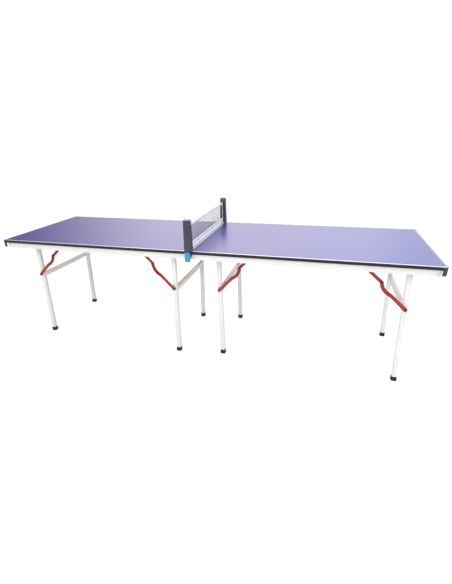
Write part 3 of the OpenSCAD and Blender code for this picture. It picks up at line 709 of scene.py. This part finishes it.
def draw_foot(leg, tilt):
    """One cap on a leg: the stack of rings, then the level sole with a softened edge."""
    foot = bmesh.new()
    last_z, last_half = CAP_FROM, FOOT_RINGS[0][1]
    ring = rounded_square(foot, last_half, CAP_CORNER, 5)
    leg_end = -hinge_z / math.cos(tilt)
    bmesh.ops.translate(foot, vec=(0, 0, leg_end + last_z), verts=foot.verts[:])
    for z, half in FOOT_RINGS:
        ring = next_loop(foot, ring, half / last_half, (0, 0, z - last_z))
        last_z, last_half = z, half
    foot = copies(as_mesh(foot), [leg])
    cut = bmesh.ops.bisect_plane(
        foot, geom=foot.verts[:] + foot.edges[:] + foot.faces[:], dist=1e-6,
        plane_co=(0, 0, 0), plane_no=(0, 0, -1), clear_outer=True,
    )["geom_cut"]
    bmesh.ops.contextual_create(foot, geom=only(bmesh.types.BMEdge, cut))
    bmesh.ops.recalc_face_normals(foot, faces=foot.faces[:])
    sole_edges = [e for e in foot.edges if all(abs(v.co.z) < 1e-5 for v in e.verts)]
    bmesh.ops.bevel(
        foot, geom=sole_edges, offset=SOLE_EDGE, segments=3, profile=0.5, affect="EDGES",
        material=-1,
    )
    return foot


print("a cap has", len(FOOT_RINGS), "rings")

# %% [markdown]
# ## Feet on the legs
# The two caps of a frame are one piece, because they fold with it. It stands for the loaded caps.

# %% Put the feet on the legs
for side in SIDES:
    for kind in FRAMES:
        pair = bmesh.new()
        for s in (-1, 1):
            pair.from_mesh(as_mesh(draw_foot(LEGS[side, kind, s], TILT[kind])))
        frame_body = f"{side}_{kind}_leg_frame"
        made = piece(f"foot_pair_{side}_{kind}", pair, black_rubber, frame_body)
        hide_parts(f"{side}_{kind}_foot_caps")
print("eight feet on", len(SIDES) * len(FRAMES), "frames")

# %% [markdown]
# ## Weld beads
# The crossbar is welded to the two legs all round its end. A bead of molten steel freezes in small
# ripples, and the powder coat goes over it. The bead follows the crossbar's rounded square
# outline, so eight scaled copies of that outline make its round section, and the last is bridged
# to the first. A gentle wave along its length makes the ripples.

# %% Make a weld bead
BEAD_R, BEAD_SIDES, SUNK_IN = 0.0016, 8, 0.0003
RIPPLES, RIPPLE_DEPTH = 52, 0.012
bead = bmesh.new()
half = tube / 2 - SUNK_IN
first = ring = rounded_square(bead, half, tube_corner, 5, 14)
for k in range(1, BEAD_SIDES):
    turn, was = 2 * math.pi * k / BEAD_SIDES, 2 * math.pi * (k - 1) / BEAD_SIDES
    size, old = (half + BEAD_R * (math.cos(a) - 1) for a in (turn, was))
    lift = BEAD_R * (math.sin(turn) - math.sin(was))
    ring = next_loop(bead, ring, size / old, (0, 0, lift))
bmesh.ops.bridge_loops(bead, edges=first + ring)
for v in bead.verts:
    along = math.atan2(v.co.y, v.co.x)
    ripple = 1 + RIPPLE_DEPTH * math.sin(RIPPLES * along)
    v.co.x, v.co.y, v.co.z = v.co.x * ripple, v.co.y * ripple, v.co.z * (1 + 6 * (ripple - 1))
bmesh.ops.recalc_face_normals(bead, faces=bead.faces[:])
weld_bead = as_mesh(bead)
print("a bead has", len(weld_bead.polygons), "faces")

# %% [markdown]
# ## Beads on the legs
# A bead lies where the crossbar meets the leg's inner side, so it is turned and moved there.

# %% Put the beads on the legs
bar_low, bar_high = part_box("right_inner_crossbar")
drop = hinge_z - (bar_low.z + bar_high.z) / 2
at_joint = Matrix.Translation((0, -tube / 2, -drop)) @ Matrix.Rotation(math.radians(90), 4, "X")
for side in SIDES:
    for kind in FRAMES:
        beads = copies(weld_bead, [LEGS[side, kind, s] @ at_joint for s in (-1, 1)])
        frame_body = f"{side}_{kind}_leg_frame"
        piece(f"weld_beads_{side}_{kind}", beads, white_steel, frame_body)
print("eight beads, crossbar", round(drop, 3), "m below the bolt")

# %% [markdown]
# ## Screws under the board
# The rails' upper flanges and the hinge brackets are screwed to the board from below with pan-head
# screws. The cross slot starts as the middle row and column of a grid of nine squares, pushed
# down. The grid's rim is then grown outward in circles, over the domed top and its shoulder to the
# side.

# %% Make a screw
HEAD_R, HEAD_H, SLOT_REACH, SLOT_DEPTH = 0.0040, 0.0022, 0.0021, 0.0010
HEAD_RINGS = (  # radius, height
    (0.0030, -0.00005), (0.0037, -0.0006), (HEAD_R, -0.0014), (HEAD_R, -HEAD_H),
)
screw = bmesh.new()
bmesh.ops.create_grid(screw, x_segments=3, y_segments=3, size=SLOT_REACH)
for v in screw.verts:  # thin arms: the inner lines move towards the middle
    v.co.x, v.co.y = (c * (0.5 if abs(c) < 0.001 else 1.0) for c in v.co.xy)
cross = [f for f in screw.faces if min(abs(c) for c in f.calc_center_median().xy) < 1e-5]
outline = [e for e in screw.edges if e.is_boundary]
sunk = bmesh.ops.extrude_face_region(screw, geom=cross)["geom"]
bmesh.ops.translate(screw, vec=(0, 0, -SLOT_DEPTH), verts=only(bmesh.types.BMVert, sunk))
bmesh.ops.delete(screw, geom=cross, context="FACES_ONLY")
bmesh.ops.subdivide_edges(screw, edges=outline, cuts=1)
rim = [e for e in screw.edges if e.is_boundary and all(abs(v.co.z) < 1e-6 for v in e.verts)]
for radius, z in HEAD_RINGS:
    rim = next_loop(screw, rim)
    for v in {v for e in rim for v in e.verts}:
        v.co = (*(v.co.xy.normalized() * radius), z)
bmesh.ops.recalc_face_normals(screw, faces=screw.faces[:])
if max(screw.faces, key=lambda f: f.calc_center_median().z).normal.z < 0:
    bmesh.ops.reverse_faces(screw, faces=screw.faces[:])
pan_head = as_mesh(screw)
print("a screw head has", len(pan_head.polygons), "faces")

# %% [markdown]
# ## Screws in their rows
# Each side rail has a row of seven, the end and seam rails have four each, and each bracket has
# four, to either side of its middle in turn. Nobody lines up the slots, so each head is turned.

# %% Place the screws
FLANGE, SEAM_GAP, SIDE_STEP, STAGGER = 0.012, 0.08, 0.174, 0.007
ACROSS, ON_BRACKET = (-0.24, -0.08, 0.08, 0.24), (0.045, 0.100, 0.150, 0.195)


def screw_at(x, y, z, turn):
    """Head down, its rim on the surface at z, the slot turned."""
    flip = Matrix.Rotation(math.pi, 4, "X") @ Matrix.Rotation(turn, 4, "Z")
    return Matrix.Translation((x, y, z - HEAD_H)) @ flip


for side in SIDES:
    out = 1 if side == "right" else -1
    low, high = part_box(f"{side}_seam_rail")
    seam_x = min(abs(low.x), abs(high.x))
    along = [seam_x + SEAM_GAP + k * SIDE_STEP for k in range(7)]
    spots = [(x, s * (rail_y - FLANGE)) for x in along for s in (-1, 1)]
    spots += [(x, y) for x in (seam_x + FLANGE, rail_x - FLANGE) for y in ACROSS]
    flange_z = rail_top - rail_sheet
    places = [screw_at(out * x, y, flange_z, 0.7 * k) for k, (x, y) in enumerate(spots)]
    bracket_z = under_z - bracket_sheet
    for kind in FRAMES:
        for s in (-1, 1):
            at = LEGS[side, kind, s]
            for k, x in enumerate(ON_BRACKET):
                aside = STAGGER if k % 2 else -STAGGER
                spot = at.translation + Vector((at[0][0] * x, aside, 0))
                places.append(screw_at(spot.x, spot.y, bracket_z, 0.9 * k + s))
    screws = copies(pan_head, places)
    piece(f"board_screws_{side}", screws, zinc, f"{side}_half", sharp=30)
    print(side, "half has", len(places), "screws")

# %% [markdown]
# ## Net
# The net is knotted twine in 9 mm squares. Real strands beat a see-through picture of them,
# because they catch light and cast thin shadows. A grid has one edge for each strand, and the
# Wireframe modifier turns each edge into a square bar that joins its neighbours at the knots. The
# cloth hangs with a slight belly, but only between its tapes: inside a folded tape it lies flat.

# %% Make the net
net_low, net_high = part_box("net_mesh")
tape_low, tape_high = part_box("net_tapes")
MESH, TWINE, BELLY, SEWN_IN = 0.009, 0.0008, 0.0035, 0.016
low_z, hem_y = net_low.z, tape_high.y
belly_low, belly_high = low_z + 0.0205, net_high.z - 0.0010
wide, tall = 2 * (hem_y - 0.004), net_high.z - net_low.z + SEWN_IN
net = bmesh.new()
bmesh.ops.create_grid(net, x_segments=round(wide / MESH), y_segments=round(tall / MESH), size=0.5)
middle_z = (net_low.z + net_high.z) / 2
bmesh.ops.transform(
    net, verts=net.verts[:],
    matrix=Matrix.Translation((0, 0, middle_z)) @ Matrix.Rotation(math.radians(90), 4, "Y")
    @ Matrix.Diagonal((tall, wide, 1, 1)),
)
for v in net.verts:
    height = (v.co.z - belly_low) / (belly_high - belly_low)
    slack = max(0.0, 4 * height * (1 - height)) * max(0.0, 1 - (v.co.y / (wide / 2)) ** 6)
    long_wave = 0.0012 * math.sin(v.co.y * 21)
    short_wave = 0.0006 * math.sin(v.co.y * 55 + v.co.z * 40)
    v.co.x += slack * (BELLY + long_wave + short_wave)
    v.co.z += slack * 0.0006 * math.sin(v.co.y * 90)
net_piece = piece("knotted_net", net, net_twine, "left_half")
bars = net_piece.modifiers.new("strands", "WIREFRAME")
bars.thickness, bars.use_replace = TWINE, True
bars.use_even_offset, bars.use_boundary = False, True
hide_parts("net_mesh")
print("net", round(wide, 3), "x", round(tall, 3), "m in", len(net_piece.data.edges), "strands")

# %% [markdown]
# ## Tapes
# The net's top edge is a white tape folded over the cord. Its foot has two more, one folded up
# round the last mesh and one folded down over the meshes above, with a thin gap between them. A
# folded tape is one line in section: down one side, round the fold and down the other. The fold is
# a point spun half a turn, its two ends are pulled to the tape's edges, and the line is drawn
# along the net in short steps, so that it can waver a little. Threads are counted in a UV map: one
# unit is one thread. Solidify gives the cloth its thickness.

# %% Fold a tape
THREAD, CLOTH, WAVER = 0.0009, 0.0004, 0.0003
TAPE_STEP, SIDE_STEPS = 0.012, 4


def count_threads(shape, across):
    """A UV map in threads: along y, and across as the given function measures it."""
    uv = shape.loops.layers.uv.new("threads")
    for face in shape.faces:
        for corner in face.loops:
            at = corner.vert.co
            corner[uv].uv = (at.y / THREAD, across(at) / THREAD)


def folded_tape(name, fold_z, fold_r, edge_z, reach):
    """A tape folded round y at fold_z, both edges at edge_z, from -reach to reach along y."""
    up = 1 if fold_z > edge_z else -1
    tape = bmesh.new()
    start = tape.verts.new((fold_r, -reach, fold_z))
    bmesh.ops.spin(
        tape, geom=[start], cent=(0, -reach, fold_z), axis=(0, -up, 0), dvec=(0, 0, 0),
        angle=math.pi, steps=10,
    )
    ends = [v for v in tape.verts if len(v.link_edges) == 1]
    for _ in range(SIDE_STEPS):
        ends = bmesh.ops.extrude_vert_indiv(tape, verts=ends)["verts"]
        for v in ends:
            v.co.z += (edge_z - fold_z) / SIDE_STEPS
            v.co.x *= 0.86
    section = tape.edges[:]
    steps = round(2 * reach / TAPE_STEP)
    for _ in range(steps):
        grown = bmesh.ops.extrude_edge_only(tape, edges=section)["geom"]
        section = only(bmesh.types.BMEdge, grown)
        moved = only(bmesh.types.BMVert, grown)
        bmesh.ops.translate(tape, vec=(0, 2 * reach / steps, 0), verts=moved)
    for v in tape.verts:
        low = abs(v.co.z - fold_z) / abs(edge_z - fold_z)
        v.co.x += WAVER * low * math.sin(v.co.y * 48 + (1.3 if v.co.x > 0 else 0))
        v.co.z += WAVER * 0.5 * low * math.sin(v.co.y * 31)
    bmesh.ops.recalc_face_normals(tape, faces=tape.faces[:])

    def from_fold(at):
        down = at.z - fold_z if abs(at.z - edge_z) > 0.001 else edge_z - fold_z
        return down + up * at.x

    count_threads(tape, from_fold)
    made = piece(name, tape, tape_cloth, "left_half", sharp=60)
    wall = made.modifiers.new("thickness", "SOLIDIFY")
    wall.thickness, wall.offset = CLOTH, -1
    return made


print("a tape's thread is", THREAD * 1000, "mm")

# %% [markdown]
# ## The three tapes
# The top tape wraps the cord, so its fold just clears the cord, and it ends short of the posts.
# The two lower ones are folded tightly round the twine and reach from hem to hem. Their inner
# edges lie 3 mm apart.

# %% Make the tapes
TIGHT = 0.0010
cord_z, cord_r, cord_reach = tape_high.z - 0.0023, 0.0021, 0.3215
low_fold, foot_fold, low_reach = low_z - 0.0138, low_z + 0.0195, hem_y - 0.0002
top_tape = folded_tape("net_top_tape", cord_z, cord_r, net_high.z - 0.0005, cord_reach)
low_tape = folded_tape("net_bottom_tape", low_fold, TIGHT, low_z + 0.0028, low_reach)
foot_tape = folded_tape("net_foot_tape", foot_fold, TIGHT, low_z + 0.0058, low_reach)
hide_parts("net_tapes")
print("tape folds at", [round(z, 4) for z in (cord_z, foot_fold, low_fold)])

# %% [markdown]
# ## Side hems
# At each end the net is hemmed with the same tape, and the steel rod stands against that hem
# inside the post. It is a flat double band, so a thin beveled box of cloth is enough.

# %% Make the side hems
HEM, HEM_THICK = 0.011, 0.0018
hem_top = cord_z - 0.003
hems = bmesh.new()
for s in (-1, 1):
    made = bmesh.ops.create_cube(hems, size=1)["verts"]
    size = Matrix.Diagonal((HEM_THICK, HEM, hem_top - tape_low.z, 1))
    middle = Matrix.Translation((0, s * (hem_y - HEM / 2), (hem_top + tape_low.z) / 2))
    bmesh.ops.transform(hems, matrix=middle @ size, verts=made)
bmesh.ops.bevel(
    hems, geom=hems.edges[:], offset=0.0005, segments=3, profile=0.5, affect="EDGES", material=-1
)
count_threads(hems, lambda at: at.z)
hem_piece = piece("net_side_hems", hems, tape_cloth, "left_half", sharp=60)
print("two hems")

# %% [markdown]
# ## Stitches
# The tapes are sewn through with a lockstitch: short raised threads in a row, 3 mm from the tape's
# edge. One stitch is a small six-sided bar with tapered ends, and the Array modifier repeats it.

# %% Sew rows of stitches
STITCH, PITCH, SEWING_R = 0.0024, 0.0034, 0.0003


def stitch_rows(name, rows, length):
    """Rows of stitches along y. A row is (x, z)."""
    shape = bmesh.new()
    for x, z in rows:
        rod = bmesh.ops.create_cone(
            shape, cap_ends=True, segments=6, radius1=SEWING_R, radius2=SEWING_R,
            depth=STITCH * 0.6,
        )["verts"]
        for sign in (1, -1):
            end = [v for v in rod if v.co.z * sign > 0]
            cap = next(f for f in end[0].link_faces if all(v in end for v in f.verts))
            bmesh.ops.inset_individual(
                shape, faces=[cap], thickness=SEWING_R / 2, depth=STITCH * 0.2
            )
        fresh = [v for v in shape.verts if not v.tag]
        place = Matrix.Translation((x, -length / 2, z)) @ Matrix.Rotation(math.radians(90), 4, "X")
        bmesh.ops.transform(shape, matrix=place, verts=fresh)
        for v in fresh:
            v.tag = True
    made = piece(name, shape, white_cord, "left_half", sharp=60)
    row = made.modifiers.new("row", "ARRAY")
    row.use_relative_offset, row.use_constant_offset = False, True
    row.constant_offset_displace, row.count = (0, PITCH, 0), int(length / PITCH)
    return made


print("a stitch every", PITCH * 1000, "mm")

# %% [markdown]
# ## Where the rows lie
# The top tape is sewn at its edge and under the cord, each lower tape at its edge. A row shows on
# both faces of its tape, so each height is used twice.

# %% Make the stitches
ROW = 0.636
top_rows = [(s * 0.00125, net_high.z + 0.0030) for s in (-1, 1)]
top_rows += [(s * 0.0017, cord_z - 0.0042) for s in (-1, 1)]
low_rows = [(s * 0.00075, low_z) for s in (-1, 1)]
foot_rows = [(s * 0.00075, low_z + 0.0085) for s in (-1, 1)]
top_stitches = stitch_rows("top_tape_stitches", top_rows, ROW)
low_stitches = stitch_rows("bottom_tape_stitches", low_rows, ROW)
foot_stitches = stitch_rows("foot_tape_stitches", foot_rows, ROW)
print("eight rows of", top_stitches.modifiers["row"].count, "stitches")

# %% [markdown]
# ## What was cut from cloth
# The net and the tapes are cloth, each cut to a size before it was stretched or folded. The net
# is mostly holes, so its cloth is only its strands.

print("the net and its tapes are cloth")

# %% [markdown]
# ## Floor
# The table stands on a pale floor that melts into a white background. The floor is lit like any
# surface, so it keeps the table's soft shadow. It also glows a little, but only to the camera, to
# mirrors and through glass, so that glow lights nothing.

# %% Make the floor
plane = bmesh.new()
bmesh.ops.create_grid(plane, x_segments=1, y_segments=1, size=14)
ground = as_mesh(plane, "floor")
floor = new_object("floor", ground)
floor_paint, tree, shader, place = material(
    "pale_floor", Base_Color=(0.80, 0.80, 0.80, 1), Roughness=0.9, Specular_IOR_Level=0.1,
    Emission_Color=(1, 1, 1, 1),
)
far_off = add(tree, "VectorMath", {"operation": "LENGTH"})
fill(tree, far_off.inputs[0], place)
glow = ramp(tree, far_off.outputs["Value"], 1.5, 5.0, 0.50, 0.64)
rays = add(tree, "LightPath").outputs
seen = sum_of(tree, "MAXIMUM", rays["Is Camera Ray"], rays["Is Glossy Ray"])
seen = sum_of(tree, "MAXIMUM", seen, rays["Is Transmission Ray"])
fill(tree, shader["Emission Strength"], sum_of(tree, "MULTIPLY", seen, glow))
ground.materials.append(floor_paint)
print("floor ready")

# %% [markdown]
# ## Backdrop
# The backdrop is white to the eye and grey as a lamp. What glossy paint mirrors of it is brightest
# high up, fades to the left and a little to the right, and turns from warm to cool. That gives the
# satin top its pale sheen.

# %% Make the backdrop
world = bpy.data.worlds.new("studio")
bpy.context.scene.world = world
world.use_nodes = True
tree = world.node_tree
sky = tree.nodes["Background"]
rays = add(tree, "LightPath").outputs
way = add(tree, "SeparateXYZ", Vector=add(tree, "TexCoord").outputs["Generated"]).outputs
from_left = ramp(tree, way["X"], -0.79, -0.36, 0.02, 1.0)
to_right = ramp(tree, way["X"], 0.10, 0.26, 1.0, 0.75)
upward = ramp(tree, way["Z"], 0.10, 0.42, 0.66, 3.7, smooth=False)
mirrored = sum_of(tree, "MULTIPLY", sum_of(tree, "MULTIPLY", from_left, to_right), upward)
rightness = ramp(tree, way["X"], -0.15, 0.15)
tint = cover(tree, rightness, (1.07, 0.98, 0.97, 1), (0.98, 1.0, 1.06, 1))
unseen = cover(tree, rays["Is Glossy Ray"], (0.46, 0.46, 0.47, 1), tint)
straight = sum_of(tree, "MAXIMUM", rays["Is Camera Ray"], rays["Is Transmission Ray"])
fill(tree, sky.inputs["Color"], cover(tree, straight, unseen, (1, 1, 1, 1)))
not_straight = sum_of(tree, "SUBTRACT", 1.0, straight)
only_mirror = sum_of(tree, "MULTIPLY", rays["Is Glossy Ray"], not_straight)
gain = sum_of(tree, "SUBTRACT", mirrored, 1.0)
fill(tree, sky.inputs["Strength"], sum_of(tree, "MULTIPLY_ADD", only_mirror, gain, 1.0))
print("white to the eye, grey as a lamp")

# %% [markdown]
# ## Lamps
# Big lamps give soft light: two in front, high and low, one on the right, one overhead, one
# behind, and a small one above the right half that lights the net's tapes. Only the overhead lamp
# shows in gloss, so that no end of the top turns white from any side.

# %% Place the lamps
def lamp(name, power, size, place, aim, in_gloss=False):
    """A rectangular lamp that looks from its place at a point. Power in watts, size in metres."""
    data = bpy.data.lights.new(name, "AREA")
    data.shape, data.energy, (data.size, data.size_y) = "RECTANGLE", power, size
    made = new_object(name, data)
    made.location = place
    made.rotation_euler = (Vector(aim) - Vector(place)).to_track_quat("-Z", "Y").to_euler()
    made.visible_glossy = in_gloss


lamp("front", 42, (3.0, 1.6), (-0.5, -2.8, 2.3), (0, 0, 0.55))
lamp("low front", 10, (2.6, 0.8), (0.1, -3.1, 1.0), (0.1, 0, 0.7))
lamp("right", 24, (1.4, 1.4), (2.9, -1.3, 1.8), (0.3, 0, 0.7))
lamp("overhead", 28, (3.4, 1.4), (0.2, 0.4, 3.3), (0.1, 0, 0.7), in_gloss=True)
lamp("net", 6.5, (0.9, 0.9), (1.5, -0.3, 2.0), (0, 0, 0.8))
lamp("behind", 24, (5.6, 1.1), (-0.1, 3.0, 1.45), (-0.1, 0, 0.7))
